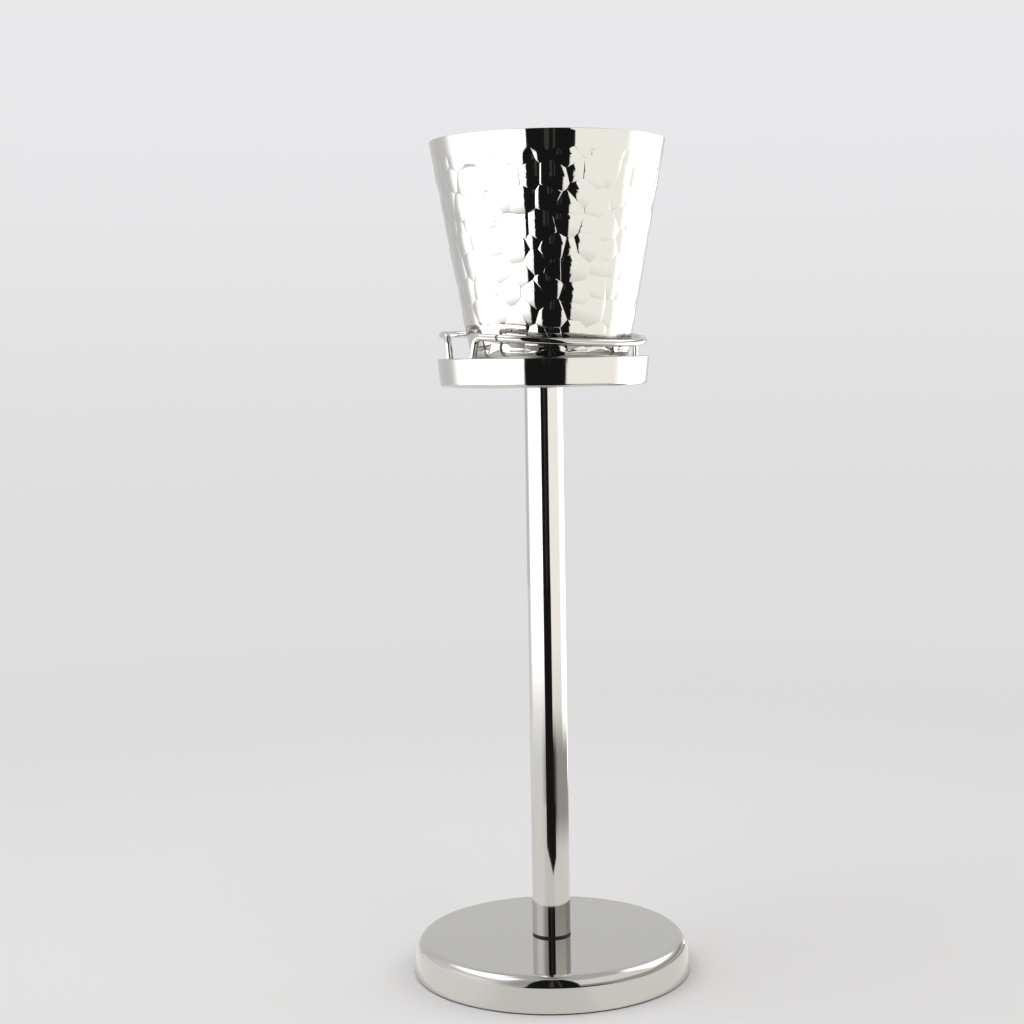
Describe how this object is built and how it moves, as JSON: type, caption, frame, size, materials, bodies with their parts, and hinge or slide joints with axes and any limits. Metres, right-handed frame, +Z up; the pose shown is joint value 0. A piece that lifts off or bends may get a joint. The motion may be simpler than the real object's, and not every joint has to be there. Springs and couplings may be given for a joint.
{
  "type": "champagne bucket stand",
  "caption": "Floor stand with a round weighted foot, tubular pole and round tray whose wire gallery holds a loose hammered conical bucket.",
  "frame": {"origin": "on the floor, on the pole's axis, under the centre of the foot", "axes": "+Z up along the pole; -Y is the front, where the gallery is open at the front left; +X to the right"},
  "size_m": [0.274, 0.274, 0.813],
  "materials": {
    "polished_stainless_foot": "mirror-polished stainless steel",
    "polished_stainless_pole": "mirror-polished stainless steel tube",
    "polished_stainless_tray": "mirror-polished stainless steel",
    "polished_stainless_wire": "polished stainless steel wire",
    "hammered_stainless": "mirror-polished hammered stainless steel",
    "zinc_steel": "zinc-plated steel",
    "cast_ballast": "rough cast, black primer",
    "rubber_pad": "matt black rubber",
    "black_gasket": "black plastic washer"
  },
  "bodies": {
    "stand": {"base_ballast": "cast_ballast", "base_pad": "rubber_pad", "base_plate": "zinc_steel", "base_plate_screws": "zinc_steel", "base_shell": "polished_stainless_foot", "gallery_post_back": "polished_stainless_wire", "gallery_post_right": "polished_stainless_wire", "gallery_rail": "polished_stainless_wire", "pole_foot_bolt": "zinc_steel", "pole_foot_gasket": "black_gasket", "pole_foot_lock_washer": "zinc_steel", "pole_foot_plug": "zinc_steel", "pole_foot_washer": "zinc_steel", "pole_head_bolt": "zinc_steel", "pole_head_lock_washer": "zinc_steel", "pole_head_plug": "zinc_steel", "pole_tube": "polished_stainless_pole", "tray_deck": "polished_stainless_tray", "tray_pan": "polished_stainless_tray", "tray_spacer": "zinc_steel", "tray_stiffener": "zinc_steel"},
    "bucket": {"bucket_shell": "hammered_stainless"}
  },
  "joints": [
    {"name": "bucket_lift", "type": "slide", "parent": "stand", "child": "bucket", "axis": [0, 0, 1], "range_m": [0, 0.12]}
  ]
}
